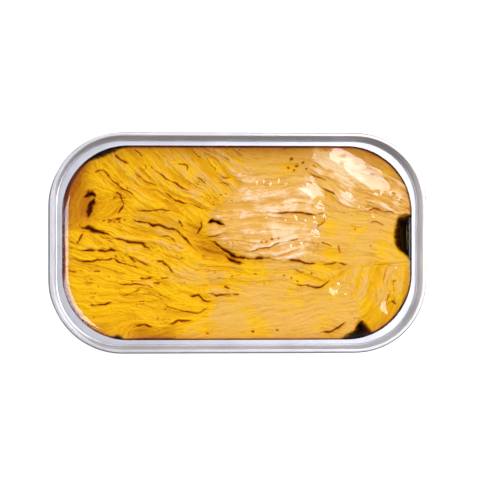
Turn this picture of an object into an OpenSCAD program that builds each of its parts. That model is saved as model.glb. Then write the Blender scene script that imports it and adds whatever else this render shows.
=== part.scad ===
// Opened oblong tin of tuna fillets in olive oil. Millimetres, +Z up,
// origin in the middle of the can's foot, long side along X.

/* [Can] */
// Length over the seam
can_l = 107; // [80:0.5:140]
// Width over the seam
can_w = 62.4; // [50:0.2:90]
// Height from foot to rim
can_h = 28.5; // [20:0.5:45]
// Corner radius of the seam, seen from above
corner_r = 20.5; // [14:0.5:24]
// Wall thickness of the drawn body
body_t = 0.25; // [0.2:0.05:0.4]
// Outside radius between wall and floor
foot_r = 2.2; // [1.2:0.1:3]
// Width of the flat foot the can stands on
foot_w = 1.6; // [1:0.1:3]
// Height of the floor panel above the foot
floor_step = 0.75; // [0.4:0.05:1.2]
// Depth of the stiffening bead in the floor
bead_d = 0.35; // [0.2:0.05:0.5]
// Width of that bead's flat
bead_w = 1.2; // [0.6:0.1:2]
// Level floor between its step and the bead
bead_in = 1.7; // [1:0.1:3]

/* [End ring] */
// Thickness of the double seam across the rim
seam_t = 1.25; // [1.1:0.05:1.6]
// Height of the double seam
seam_h = 3; // [2.4:0.1:3.6]
// Sheet thickness of the end
end_t = 0.24; // [0.2:0.02:0.3]
// Depth of the ledge below the rim
ledge_h = 3.8; // [3.2:0.1:5]
// Slope of the chuck wall, measured inward
chuck_run = 0.6; // [0.2:0.05:1]
// Inside radius of the groove at the foot of the chuck wall
groove_r = 0.35; // [0.25:0.05:0.5]
// Rim edge to the torn edge of the ledge, on the straight sides
rim_w = 3.65; // [3.4:0.05:5]
// Corner radius of the opening
open_r = 18.8; // [12:0.2:22]

/* [Contents] */
// Room between the oil and the lowest point of the end ring
oil_gap = 0.31; // [0.25:0.01:1]
// Crack between two pieces of fish
crack_w = 0.5; // [0.3:0.05:0.8]
// Room between fish and can wall
wall_gap = 0.55; // [0.5:0.05:1.2]
// How far the torn sides of the fish wander
ripple = 0.3; // [0:0.05:0.35]
// Drop of each piece's top towards its sides
crown = 0.5; // [0.3:0.05:0.6]

/* [Hidden] */

proud = seam_t - end_t - body_t;        // seam beyond the body wall
body_l = can_l - 2 * proud;
body_w = can_w - 2 * proud;
body_r = corner_r - proud;
hook_gap = 0.6;                         // body's edge below the rim
crown_r = 0.45;                         // roll of the seam, outside
lip_r = 0.35;                           // roll of the seam, inside
ledge_in = 1.55;                        // ledge kept past rim_w for the corners
ring_low = ledge_h + groove_r + end_t;  // lowest point of the end ring
oil_z = can_h - ring_low - oil_gap;      // level of the oil
floor_z = floor_step + body_t;          // inside face of the floor panel
lap = 3;                                // overlap of the floor's middle plate
arc_n = 6;                              // steps in a quarter arc
wrap_a = 23;                            // where the groove's outside leaves the chuck wall
cutter = 1;                             // cutters run this far past the sheet
edge_step = 2.6;                        // spacing of points along torn sides
shoulder = 0.8;                         // where the top starts to fall
shoulder_drop = crown / 5;              // how far it has fallen by there

inner_l = body_l - 2 * body_t;
inner_w = body_w - 2 * body_t;
inner_r = body_r - body_t;

// Meeting points of the pieces, in per cent of the inside half length and
// half width. Points that lie behind the wall are drawn in to it.
MEET = [
    [-93, 76], [-102, 14], [-102, -7], [-100, -51], [-61, -106], [-56, -106], // 0 wall
    [-36, -106], [45, -106], [99, -55], [103, -23], [103, 28], [104, 104],    // 6 wall
    [40, 107], [0, 107], [-49, 107], [-83, 77], [-66, 85], [-82, 59],          // 12
    [-76, 43], [-68, 46], [-61, 41], [-59, 29], [-44, 31], [-32, 24],          // 18
    [-25, 26], [-19, 23], [-14, 27], [-1, 48], [4, 67], [20, 62],              // 24
    [37, 66], [40, 79], [48, 50], [48, 29], [72, 30], [87, 25],                // 30
    [43, 14], [44, -3], [39, -19], [20, -16], [4, -13], [-5, -9],              // 36
    [-12, 0], [-15, 3], [-6, 8], [-6, 17], [-14, 16], [-17, 11],               // 42
    [-18, 6], [-21, 6], [-59, 24], [-21, 15], [-30, 14], [-33, 12],            // 48
    [-48, 20], [-23, -7], [-17, -13], [-9, -18], [-77, 28], [-72, 21],         // 54
    [-64, 22], [-80, 19], [-85, 17], [-83, 43], [-87, -6], [-68, -7],          // 60
    [-53, -18], [-45, -24], [-32, -35], [-21, -26], [-26, -45], [-14, -48],    // 66
    [3, -50], [6, -41], [22, -34], [44, -43], [51, -36], [62, -21],            // 72
    [86, -22], [61, -38], [62, -52], [70, -64], [74, -64], [83, -56],          // 78
    [73, -79], [80, -94], [-81, -61], [-66, -55], [-54, -59], [-43, -52],     // 84
    [-11, -59], [-23, -75], [-34, -79], [-43, -82], [-43, -64], [-53, -76],    // 90
    [-55, -68], [-57, -79], [-60, -79], [-71, -82], [-75, -98], [84, 5],     // 96
    [87, -7], [104, -104], [-104, -104], [61, -82]                             // 102
];

// Points on an arc round c, from angle a to angle b
function arc(c, r, a, b) =
    [for (i = [0:arc_n]) let (t = a + (b - a) * i / arc_n)
        c + r * [cos(t), sin(t)]];

// Pulls a point inside a rounded rectangle with the given half sizes
function drawn_in(p, hx, hy, r) =
    let (q = [abs(p.x), abs(p.y)],
         c = [hx - r, hy - r],
         d = q - c,
         far = norm([max(d.x, 0), max(d.y, 0)]),
         k = far > r ? c + [max(d.x, 0), max(d.y, 0)] * r / far : q,
         s = d.x > 0 && d.y > 0 ? k : [min(q.x, hx), min(q.y, hy)])
    [p.x < 0 ? -s.x : s.x, p.y < 0 ? -s.y : s.y];

// Gentle waviness, the same for both sides of a crack
function wavy(p) =
    p + ripple * [sin(23 * p.y + 40) + 0.5 * sin(61 * p.y),
                  sin(19 * p.x) + 0.5 * sin(53 * p.x + 70)];

function meet(i) = [MEET[i].x * inner_l, MEET[i].y * inner_w] / 200;

// Points from one meeting point up to, not including, the next
function side(a, b) =
    let (n = max(1, round(norm(b - a) / edge_step)))
    [for (i = [0:n - 1]) a + (b - a) * i / n];

// A piece's cell: wavy sides between its meeting points, kept off the wall
function cell(ids) =
    let (n = len(ids),
         raw = [for (i = [0:n - 1]) each side(meet(ids[i]), meet(ids[(i + 1) % n]))],
         in = [for (p = raw) drawn_in(wavy(p), inner_l / 2 - wall_gap,
                                      inner_w / 2 - wall_gap, inner_r - wall_gap)],
         m = len(in))
    [for (i = [0:m - 1]) if (norm(in[i] - in[(i + 1) % m]) > edge_step / 6) in[i]];

// Twice the area inside the points, below zero where they run clockwise
function area2(pts) =
    let (n = len(pts))
    [for (i = [0:n - 1]) let (a = pts[i], b = pts[(i + 1) % n]) a.x * b.y - b.x * a.y]
    * [for (i = [0:n - 1]) 1];

function middle(pts) =
    [for (k = [0, 1]) [for (p = pts) p[k]] * [for (p = pts) 1] / len(pts)];

// The cell with half a crack taken off all round, counter-clockwise
function outline(ids) =
    let (raw = cell(ids),
         pts = area2(raw) > 0 ? raw : [for (i = [len(raw) - 1:-1:0]) raw[i]],
         n = len(pts))
    [for (i = [0:n - 1])
        let (t = pts[(i + 1) % n] - pts[(i + n - 1) % n])
        pts[i] + [-t.y, t.x] / norm(t) * crack_w / 2];

// Two-dimensional children swept round a rounded rectangle. Their x is the
// distance outward from the corner's centre.
module swept(l, w, r, fn = 96) {
    cx = l / 2 - r;
    cy = w / 2 - r;
    corners = [[cx, cy], [-cx, cy], [-cx, -cy], [cx, -cy]];
    for (k = [0:3])
        translate(corners[k]) rotate(90 * k) {
            rotate_extrude(angle = 90, $fn = fn) children();
            rotate([90, 0, 0]) linear_extrude(k % 2 == 0 ? 2 * cy : 2 * cx) children();
        }
}

// Plate that closes the middle of a swept floor, lapping its flat part
module middle_plate(l, w, r, z, t)
    translate([0, 0, z + t / 2])
        cube([l - 2 * r + 2 * lap, w - 2 * r + 2 * lap, t], center = true);

// Rounded rectangle with true corner arcs
module oblong(l, w, r) {
    square([l - 2 * r, w], center = true);
    square([l, w - 2 * r], center = true);
    for (x = [-1, 1], y = [-1, 1])
        translate([x * (l / 2 - r), y * (w / 2 - r)]) circle(r, $fn = 96);
}

// Floor line from the wall to the middle, for the outer or inner face
function floor_line(z, r, t) =
    let (x1 = body_r - foot_r - foot_w,
         x2 = x1 - floor_step,
         x3 = x2 - bead_in,
         x4 = x3 - bead_d,
         x5 = x4 - bead_w,
         x6 = x5 - bead_d)
    concat(
        arc([body_r - foot_r, foot_r], r, 0, -90),
        [[x1, z], [x2, z + floor_step], [x3, z + floor_step],
         [x4, z + floor_step - bead_d], [x5, z + floor_step - bead_d],
         [x6, z + floor_step], [0, z + floor_step]]);

function backward(pts) = [for (i = [len(pts) - 1:-1:0]) pts[i]];

// Drawn body: wall, rounded foot and stepped floor with its bead
module can_body() color([0.80, 0.79, 0.75]) {
    top = can_h - hook_gap;
    swept(body_l, body_w, body_r)
        polygon(concat(
            [[body_r, top]],
            floor_line(0, foot_r, 0),
            backward(floor_line(body_t, foot_r - body_t, body_t)),
            [[body_r - body_t, top]]));
    middle_plate(body_l, body_w, body_r, floor_step, body_t);
}

// What the lid leaves behind: double seam, chuck wall, groove and ledge
module end_ring() color([0.86, 0.85, 0.84]) {
    gc = [seam_t + chuck_run + groove_r, ledge_h];     // groove centre
    over = rim_w + ledge_in;
    path = concat(
        [[0, seam_h]],
        arc([crown_r, crown_r], crown_r, 180, 270),
        arc([seam_t - lip_r, lip_r], lip_r, 270, 360),
        arc(gc, groove_r, 180, 0),
        [[over, ledge_h], [over, ledge_h + end_t]],
        arc(gc, groove_r + end_t, wrap_a, 180),
        [[seam_t - end_t, lip_r], [seam_t - end_t, hook_gap],
         [proud, hook_gap], [proud, seam_h]]);
    difference() {
        swept(can_l, can_w, corner_r)
            polygon([for (p = path) [corner_r - p.x, can_h - p.y]]);
        translate([0, 0, can_h - ring_low - cutter])
            linear_extrude(ring_low)
                oblong(can_l - 2 * rim_w, can_w - 2 * rim_w, open_r);
    }
}

// One piece of fish: from the floor up to a crowned top that stands rise
// above the oil and leans by lean millimetres per millimetre
module flesh(ids, rise, lean = [0, 0]) {
    side_pts = outline(ids);
    n = len(side_pts);
    c = middle(side_pts);
    top = oil_z + rise;
    points = concat(
        [for (p = side_pts) [p.x, p.y, floor_z]],
        [for (p = side_pts) [p.x, p.y, top - crown + lean * (p - c)]],
        [for (p = side_pts) let (q = c + (p - c) * shoulder)
            [q.x, q.y, top - shoulder_drop + lean * (q - c)]],
        [[c.x, c.y, top], [c.x, c.y, floor_z]]);
    faces = [for (i = [0:n - 1]) let (j = (i + 1) % n) each [
        [i, j, 3 * n + 1],
        [i, n + i, n + j], [i, n + j, j],
        [n + i, 2 * n + i, 2 * n + j], [n + i, 2 * n + j, n + j],
        [2 * n + i, 3 * n, 2 * n + j]]];
    color([0.90, 0.68, 0.36]) polyhedron(points, faces);
}

module fillet_top_left()
    flesh([15, 16, 14, 13, 28, 27, 26, 25, 24, 23, 22, 21, 20, 19, 18, 17], -0.5, [0.01, 0.01]);
module fillet_top_middle()
    flesh([28, 13, 12, 31, 30, 29], -0.1);
module fillet_top_right()
    flesh([30, 31, 12, 11, 10, 35, 34, 33, 32], 0.15);
module fillet_centre()
    flesh([28, 29, 30, 32, 33, 36, 37, 38, 39, 40, 41, 42, 43, 44, 45, 26, 27], 0.3);
module fillet_right()
    flesh([33, 34, 35, 101, 102, 9, 78, 77, 38, 37, 36], -0.1);
module fillet_left_upper()
    flesh([1, 62, 61, 59, 60, 50, 54, 53, 55, 56, 69, 68, 67, 66, 65, 64, 2], -0.6, [0.01, 0]);
module fillet_left_middle()
    flesh([2, 64, 65, 66, 67, 68, 70, 89, 88, 87, 86, 3], -0.8, [0.008, 0]);
module fillet_left_lower()
    flesh([3, 86, 87, 88, 96, 95, 97, 98, 99, 100, 104], -1.1);
module fillet_low_inner()
    flesh([88, 89, 70, 71, 90, 91, 92, 93, 94, 96], -0.8);
module fillet_middle_lower()
    flesh([56, 57, 40, 39, 38, 77, 76, 75, 74, 73, 72, 71, 70, 68, 69], -0.3);
module fillet_lower_right()
    flesh([6, 92, 91, 90, 71, 72, 73, 74, 75, 76, 79, 80, 81, 105, 7], -0.1);
module fillet_crosswise()
    flesh([76, 77, 78, 9, 8, 83, 82, 81, 80, 79], -0.2);
module chunk_corner()
    flesh([81, 82, 83, 8, 103, 85, 84], -0.7);
module flake_wall()
    flesh([0, 15, 17, 63, 62, 1], -1.0);
module flake_inner()
    flesh([63, 18, 58, 61, 62], -1.6);
module flake_knob()
    flesh([18, 19, 20, 21, 50, 60, 59, 58], -1.2);
module flake_sliver()
    flesh([21, 22, 23, 52, 53, 54, 50], -0.4);
module flake_round()
    flesh([23, 24, 25, 51, 52], -0.6);
module flake_upright()
    flesh([25, 47, 48, 49, 51], -0.5);
module flake_pale()
    flesh([46, 45, 44, 43, 48, 47], 0.2);
module flake_deep()
    flesh([52, 51, 49, 48, 43, 42, 41, 40, 57, 56, 55, 53], -1.8);
module flake_wedge()
    flesh([94, 93, 95, 96], -0.4);
module flake_stub()
    flesh([98, 97, 5, 4], -0.9);
module flake_low_edge()
    flesh([97, 95, 93, 92, 6, 5], -1.6);

module fish() {
    fillet_top_left();
    fillet_top_middle();
    fillet_top_right();
    fillet_centre();
    fillet_right();
    fillet_left_upper();
    fillet_left_middle();
    fillet_left_lower();
    fillet_low_inner();
    fillet_middle_lower();
    fillet_lower_right();
    fillet_crosswise();
    chunk_corner();
    flake_wall();
    flake_inner();
    flake_knob();
    flake_sliver();
    flake_round();
    flake_upright();
    flake_pale();
    flake_deep();
    flake_wedge();
    flake_stub();
    flake_low_edge();
}

// Oil up to its level, cut round the fish, at the can's inside size
module oil() color([0.85, 0.62, 0.10])
    resize([inner_l, inner_w, oil_z - body_t])
    difference() {
        union() {
            swept(body_l, body_w, body_r, 48)
                polygon(concat(
                    [[0, can_h], [body_r - body_t, can_h]],
                    floor_line(body_t, foot_r - body_t, body_t)));
            middle_plate(body_l, body_w, body_r, floor_z, can_h - floor_z);
        }
        fish();
        translate([-can_l / 2, -can_w / 2, oil_z]) cube([can_l, can_w, can_h]);
    }

can_body();
end_ring();
oil();
fillet_top_left();
fillet_top_middle();
fillet_top_right();
fillet_centre();
fillet_right();
fillet_left_upper();
fillet_left_middle();
fillet_left_lower();
fillet_low_inner();
fillet_middle_lower();
fillet_lower_right();
fillet_crosswise();
chunk_corner();
flake_wall();
flake_inner();
flake_knob();
flake_sliver();
flake_round();
flake_upright();
flake_pale();
flake_deep();
flake_wedge();
flake_stub();
flake_low_edge();
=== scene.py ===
"""Opened oblong tin of tuna fillets in olive oil: the looks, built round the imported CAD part."""

import math

import bpy
import numpy as np
from mathutils import Matrix, Vector
from mathutils.geometry import delaunay_2d_cdt


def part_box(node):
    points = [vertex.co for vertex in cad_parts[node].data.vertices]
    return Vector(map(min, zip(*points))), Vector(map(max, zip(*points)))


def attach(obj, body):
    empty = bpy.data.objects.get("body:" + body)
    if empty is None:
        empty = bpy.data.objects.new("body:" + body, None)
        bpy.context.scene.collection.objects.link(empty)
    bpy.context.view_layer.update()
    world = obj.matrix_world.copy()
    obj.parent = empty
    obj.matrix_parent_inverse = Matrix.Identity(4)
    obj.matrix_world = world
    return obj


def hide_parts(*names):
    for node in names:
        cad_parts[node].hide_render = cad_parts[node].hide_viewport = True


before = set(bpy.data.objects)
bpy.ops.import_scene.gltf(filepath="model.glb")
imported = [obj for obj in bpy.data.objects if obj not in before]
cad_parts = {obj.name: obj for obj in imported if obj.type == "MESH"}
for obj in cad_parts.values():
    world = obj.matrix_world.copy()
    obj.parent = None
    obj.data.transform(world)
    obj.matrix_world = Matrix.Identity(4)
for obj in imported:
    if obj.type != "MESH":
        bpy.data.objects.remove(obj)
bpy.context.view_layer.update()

MM = 0.001

# ---------------------------------------------------------------- the tin's own measures, in millimetres
oil_lo, oil_hi = (np.array(c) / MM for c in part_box("oil"))
rim_lo, rim_hi = (np.array(c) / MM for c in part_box("end_ring"))
HALF = (oil_hi[:2] - oil_lo[:2]) / 2          # inside half length and half width
MID = (oil_hi[:2] + oil_lo[:2]) / 2
LEVEL = oil_hi[2]                             # height of the oil
FLOOR = oil_lo[2]                             # lowest point of the oil
WALL_ROUND = 19.5                             # corner radius inside the wall
RIM_HALF = (rim_hi[:2] - rim_lo[:2]) / 2
RIM_ROUND = 20.5                              # corner radius of the seam
RIM_W = 3.65                                  # rim edge to the torn edge of the ledge
MOUTH_ROUND = 18.8                            # corner radius of the opening
MOUTH_HALF = RIM_HALF - RIM_W


# ---------------------------------------------------------------- noise and distances
def lattice(ix, iy, seed):
    """A fixed value from -1 to 1 for each whole-numbered place."""
    n = (ix.astype(np.int64) * 374761393 + iy.astype(np.int64) * 668265263 + seed * 97463477) & 0xFFFFFFFF
    n = ((n ^ (n >> 13)) * 1274126177) & 0xFFFFFFFF
    return ((n ^ (n >> 16)) & 0xFFFF) / 32767.5 - 1


def noise(x, y, seed):
    """Smooth noise from -1 to 1, one wave per unit."""
    ix, iy = np.floor(x), np.floor(y)
    fx, fy = x - ix, y - iy
    fx, fy = fx * fx * (3 - 2 * fx), fy * fy * (3 - 2 * fy)
    a, b = lattice(ix, iy, seed), lattice(ix + 1, iy, seed)
    c, d = lattice(ix, iy + 1, seed), lattice(ix + 1, iy + 1, seed)
    return (a + (b - a) * fx) * (1 - fy) + (c + (d - c) * fx) * fy


def ramp(x, lo, hi):
    """0 up to lo, 1 from hi on, and a smooth step between."""
    t = np.clip((x - lo) / (hi - lo), 0, 1)
    return t * t * (3 - 2 * t)


def inside_by(x, y, half, r):
    """Distance inside a rounded rectangle round the middle, negative outside."""
    qx, qy = np.abs(x - MID[0]) - (half[0] - r), np.abs(y - MID[1]) - (half[1] - r)
    out = np.hypot(np.maximum(qx, 0), np.maximum(qy, 0)) + np.minimum(np.maximum(qx, qy), 0)
    return r - out


def to_line(x, y, line, closed=False):
    """Distance to a line, which side of it (1 on the left), and how far along it from 0 to 1."""
    pts = np.asarray(line, float)
    a, b = (pts, np.roll(pts, -1, 0)) if closed else (pts[:-1], pts[1:])
    run = np.hypot(*(b - a).T)
    start = np.concatenate([[0], np.cumsum(run)[:-1]])
    best = np.full(x.shape, 1e9)
    side, along = np.ones(x.shape), np.zeros(x.shape)
    for p, q, s, d in zip(a, b, start, run):
        t = np.clip(((x - p[0]) * (q[0] - p[0]) + (y - p[1]) * (q[1] - p[1])) / max(d * d, 1e-9), 0, 1)
        dx, dy = x - p[0] - t * (q[0] - p[0]), y - p[1] - t * (q[1] - p[1])
        far = np.hypot(dx, dy)
        near = far < best
        best = np.where(near, far, best)
        side = np.where(near, np.sign((q[0] - p[0]) * dy - (q[1] - p[1]) * dx), side)
        along = np.where(near, (s + t * d) / run.sum(), along)
    return best, side, along


def within(x, y, ring):
    """True where points lie inside a closed line."""
    hit = np.zeros(x.shape, bool)
    for (ax, ay), (bx, by) in zip(ring, np.roll(ring, -1, 0)):
        if ay != by:
            hit ^= ((ay > y) != (by > y)) & (x < (bx - ax) * (y - ay) / (by - ay) + ax)
    return hit


def place(points):
    """Points in per cent of the inside half length and half width, as millimetres."""
    return [(MID[0] + px * HALF[0] / 100, MID[1] + py * HALF[1] / 100) for px, py in points]


# ---------------------------------------------------------------- the fish
# Each piece: grain direction in degrees, height of a flake's torn edge and height of the fibres
# in millimetres, and how much painted shade darkens it
FISH = {
    "fillet_top_left": (-36, 0.36, 0.05, 0.0),
    "fillet_top_middle": (-5, 0.12, 0.035, 0.06),
    "fillet_top_right": (-24, 0.24, 0.05, 0.0),
    "fillet_centre": (4, 0.12, 0.035, 0.0),
    "fillet_right": (-10, 0.10, 0.03, 0.0),
    "fillet_left_upper": (-20, 0.34, 0.05, 0.0),
    "fillet_left_middle": (-10, 0.28, 0.045, 0.0),
    "fillet_left_lower": (10, 0.18, 0.04, 0.0),
    "fillet_low_inner": (-14, 0.22, 0.045, 0.0),
    "fillet_middle_lower": (-12, 0.20, 0.045, 0.03),
    "fillet_lower_right": (4, 0.08, 0.03, 0.0),
    "fillet_crosswise": (84, 0.26, 0.05, 0.0),
    "chunk_corner": (58, 0.16, 0.04, 0.16),
    "flake_wall": (78, 0.20, 0.05, 0.42),
    "flake_inner": (82, 0.18, 0.05, 0.42),
    "flake_knob": (50, 0.34, 0.06, 0.12),
    "flake_sliver": (-12, 0.14, 0.04, 0.24),
    "flake_round": (-20, 0.12, 0.03, 0.0),
    "flake_upright": (80, 0.10, 0.03, 0.0),
    "flake_pale": (20, 0.14, 0.04, 0.0),
    "flake_deep": (-34, 0.36, 0.06, 0.22),
    "flake_wedge": (-20, 0.14, 0.04, 0.0),
    "flake_stub": (84, 0.14, 0.04, 0.0),
    "flake_low_edge": (2, 0.16, 0.04, 0.2),
}

# Cracks, in per cent of the inside half length and width: the line, its width and depth
# in millimetres, and how far its left side is lifted
CRACKS = [
    # upper left fillet
    ([(-67, 84), (-63, 77), (-59, 72)], 0.5, 0.7, 0.15),
    ([(-57, 90), (-54, 84), (-51, 78)], 0.4, 0.5, 0.1),
    ([(-47, 71), (-42, 64), (-38, 60), (-30, 51), (-24, 47)], 0.5, 0.8, 0.25),
    ([(-56, 69), (-52, 60), (-47, 55), (-42, 52)], 0.5, 0.7, 0.2),
    ([(-42, 49), (-34, 41), (-23, 35), (-15, 27)], 0.5, 0.8, 0.2),
    ([(-70, 63), (-64, 53), (-57, 45), (-52, 38)], 0.4, 0.6, 0.2),
    ([(-34, 73), (-28, 72), (-27, 66)], 0.4, 0.4, 0.1),
    ([(-23, 63), (-20, 60), (-17, 55)], 0.5, 0.5, 0.1),
    ([(-13, 65), (-7, 62), (-2, 61)], 0.4, 0.4, 0.1),
    ([(-11, 57), (-7, 57), (-3, 54)], 0.4, 0.4, 0.1),
    # round the knob
    ([(-78, 64), (-73, 69), (-68, 60)], 0.5, 0.6, 0.15),
    ([(-83, 44), (-79, 46), (-76, 42)], 1.0, 1.6, 0.2),
    ([(-77, 43), (-78, 36), (-81, 28), (-80, 22)], 0.9, 1.4, 0.0),
    ([(-67, 50), (-63, 43), (-62, 34), (-65, 27)], 0.35, 0.9, 0.2),
    ([(-72, 21), (-69, 21), (-66, 22), (-62, 23)], 0.7, 1.2, 0.0),
    # seam below it, down to the deep flakes
    ([(-61, 25), (-54, 21), (-48, 19), (-41, 15), (-35, 13), (-30, 7), (-25, -2), (-20, -10)], 0.6, 1.4, 0.2),
    ([(-30, 29), (-34, 31), (-44, 31), (-58, 30)], 0.4, 0.6, 0.1),
    ([(-32, 23), (-29, 15), (-31, 13)], 0.5, 0.8, 0.1),
    ([(-19, 22), (-20, 14), (-21, 8)], 0.4, 0.7, 0.1),
    ([(-17, 19), (-12, 20), (-7, 17)], 1.0, 1.6, 0.0),
    ([(-18, 5), (-10, 8), (-5, 9)], 0.4, 0.7, 0.1),
    # lower edge of the middle fillet
    ([(-16, 2), (-11, -1), (-7, -8), (-1, -13), (6, -14), (14, -15), (24, -16)], 0.85, 1.6, 0.2),
    ([(24, -16), (33, -18), (40, -20), (45, -21)], 0.5, 0.9, 0.1),
    ([(45, -20), (52, -20), (62, -20)], 0.4, 0.6, 0.0),
    ([(-8, -12), (-2, -17), (4, -18)], 0.9, 1.1, 0.0),
    # middle
    ([(13, 28), (20, 27), (27, 28), (38, 27), (48, 27)], 0.5, 0.9, 0.2),
    ([(48, 27), (47, 21), (43, 15), (45, 11)], 0.5, 0.7, 0.1),
    ([(2, -10), (10, -6), (17, -4), (27, 1), (36, 6)], 0.4, 0.6, 0.35),
    ([(39, 66), (45, 61), (49, 57)], 0.5, 0.6, 0.15),
    ([(46, 54), (50, 48), (54, 45)], 0.5, 0.6, 0.15),
    ([(69, 75), (74, 73), (78, 68)], 0.4, 0.4, 0.1),
    ([(70, 64), (77, 63), (84, 57)], 0.4, 0.4, 0.1),
    ([(70, 31), (79, 31), (87, 28)], 0.4, 0.6, 0.1),
    ([(45, 1), (48, -1), (52, -5)], 0.6, 0.6, 0.1),
    ([(55, -1), (56, -6), (57, -11)], 0.4, 0.3, 0.0),
    ([(72, 19), (76, 19), (80, 17)], 0.4, 0.4, 0.1),
    # left
    ([(-86, 15), (-80, 12), (-74, 9), (-68, 7)], 1.3, 1.6, 0.2),
    ([(-88, -1), (-85, 4), (-82, 8)], 0.5, 0.8, 0.2),
    ([(-70, 4), (-66, 4), (-59, 1), (-53, -1), (-48, -6), (-46, -12)], 0.6, 0.8, 0.25),
    ([(-87, -6), (-78, -7), (-68, -6), (-62, -9)], 0.7, 1.0, 0.1),
    ([(-62, -9), (-53, -17), (-46, -23)], 0.4, 0.6, 0.1),
    ([(-46, -16), (-41, -17), (-34, -29)], 0.5, 0.8, 0.1),
    ([(-45, 8), (-38, 5), (-33, 1)], 0.4, 0.4, 0.1),
    ([(-93, -17), (-80, -16), (-68, -16), (-58, -21), (-51, -27)], 0.5, 1.0, 0.2),
    ([(-54, -33), (-49, -34), (-45, -33)], 0.8, 0.9, 0.0),
    ([(-42, -33), (-37, -33)], 0.6, 0.7, 0.0),
    ([(-47, -38), (-42, -38)], 0.5, 0.6, 0.0),
    ([(-93, -27), (-86, -28)], 0.5, 0.5, 0.0),
    ([(-79, -26), (-74, -26)], 0.5, 0.5, 0.0),
    ([(-74, -36), (-62, -38), (-54, -39), (-43, -43)], 0.5, 0.7, 0.15),
    ([(-62, -49), (-53, -45)], 0.5, 0.6, 0.1),
    ([(-81, -61), (-73, -58), (-66, -55)], 0.6, 0.9, 0.1),
    ([(-42, -54), (-38, -59), (-32, -63), (-24, -66), (-13, -60)], 0.4, 0.5, 0.15),
    ([(-28, -49), (-22, -50), (-17, -55), (-12, -57)], 0.6, 0.9, 0.1),
    ([(-16, -46), (-12, -50), (-4, -49), (3, -48)], 0.6, 0.9, 0.15),
    ([(-38, -78), (-33, -74), (-23, -74)], 0.5, 0.8, 0.1),
    ([(-58, -79), (-50, -77), (-44, -81)], 0.4, 0.6, 0.1),
    # lower middle and right
    ([(-8, -40), (-3, -42)], 0.5, 0.6, 0.0),
    ([(30, -38), (37, -40), (45, -42), (51, -36)], 0.5, 0.8, 0.1),
    ([(30, -24), (37, -29)], 0.5, 0.5, 0.0),
    ([(43, -87), (52, -82), (61, -75)], 0.5, 1.0, 0.15),
    ([(84, -55), (88, -60)], 0.6, 0.6, 0.0),
]

# Small pits in the flesh, in per cent, with their size in millimetres
PITS = [
    (-15, 42, 0.5), (-9, 44, 0.5), (-13, 36, 0.45), (-6, 46, 0.4), (-3, 40, 0.4), (-20, 44, 0.4),
    (29, 78, 0.8), (33, 73, 0.9), (31, 69, 0.7), (36, 76, 0.7), (38, 70, 0.6), (28, 71, 0.6),
    (13, 2, 0.4), (16, 2, 0.4), (19, 3, 0.45), (22, 4, 0.45), (25, -30, 0.6), (29, -33, 0.5),
    (33, -35, 0.5), (10, -30, 0.4), (15, -38, 0.4), (40, -30, 0.5), (-16, -85, 0.7), (8, -83, 0.7),
    (22, -82, 0.6), (-73, 20, 0.5), (-70, 19, 0.5), (-67, 20, 0.55), (-64, 20, 0.5), (-61, 21, 0.5),
    (-62, -13, 0.4), (-70, -31, 0.4), (-57, -36, 0.4), (64, 12, 0.4), (73, -3, 0.4),
]

# Crests that the oil runs off towards the light: the line in per cent, height, steep width
# and gentle width in millimetres. The steep side is the line's left.
CRESTS = [
    ([(78, 38), (70, 52), (60, 65), (50, 77), (42, 85)], 0.68, 3.2, 5.6),
    ([(41, 36), (36, 43), (31, 52)], 0.45, 2.2, 6),
    ([(88, 36), (80, 46)], 0.35, 2.0, 5),
    ([(52, -53), (47, -47)], 0.25, 1.6, 4),
    ([(79, -66), (75, -62)], 0.3, 1.8, 4),
]
# Beads of oil that catch the light, in per cent, with their size in millimetres
BEADS = [
    (9, 56, 0.48), (13, 57, 0.41), (17, 54, 0.48), (21, 57, 0.41), (26, 55, 0.48), (33, 54, 0.54),
    (37, 56, 0.41), (15, 22, 0.41), (20, 23, 0.48), (25, 21, 0.41), (31, 23, 0.54), (36, 22, 0.41),
    (41, 23, 0.48), (46, 24, 0.48), (29, -3, 0.61), (33, -1, 0.48), (27, -8, 0.41), (54, -40, 0.54),
    (50, -47, 0.48), (58, -49, 0.41), (73, 24, 0.48), (84, 36, 0.54), (86, -24, 0.41), (80, -67, 0.61),
    (76, 45, 0.48), (66, 34, 0.48),
]

WALL_GAP = 0.2                                # flesh stays this far from the wall
POINT_GAP = 0.19                              # spacing of the points on the flesh
LINE_CLEAR = 0.11                             # they keep this far from its torn edge
EDGE_GAP = 0.3                                # spacing of points along a torn edge
GROW = 0.24                                   # swollen past the CAD outline, so that pieces press together
# Where loose flesh bulges into a pocket: the place in per cent, how far round and how much in millimetres
BULGES = [((-81, 40), 4, 1.2), ((-79, 24), 4, 1.0), ((-17, 19), 4, 1.5), ((-70, -87), 7, 3.6),
          ((-72, 82), 12, 0.45), ((88, 8), 8, 1.1), ((68, -84), 9, 1.8)]
POCKET_PROBE = 1.1                            # an edge is loose if there is this much room beside it
# Rings of points down a piece's side: how far below its top (None is the foot), how far it is drawn
# in, and how far a loose side spreads, in millimetres
SIDE_RINGS = ((0.5, 0.04, 0.3), (1.4, 0.14, 0.9), (3.5, 0.2, 2.0), (9, 0.25, 2.8), (None, 0.15, 2.8))
FOOT_RISE = 0.8                               # a piece's foot over the floor of the can
SIDE_SHADE = 0.3                              # how dark the sides are

MAP_GAP = 0.12                                # spacing of the maps that the relief is worked out on
MAP_MARGIN = 0.6                              # how far they reach past the inside of the can
map_x, map_y = (np.arange(-h - MAP_MARGIN, h + MAP_MARGIN, MAP_GAP) + m for h, m in zip(HALF, MID))
MX, MY = np.meshgrid(map_x, map_y)


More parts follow.
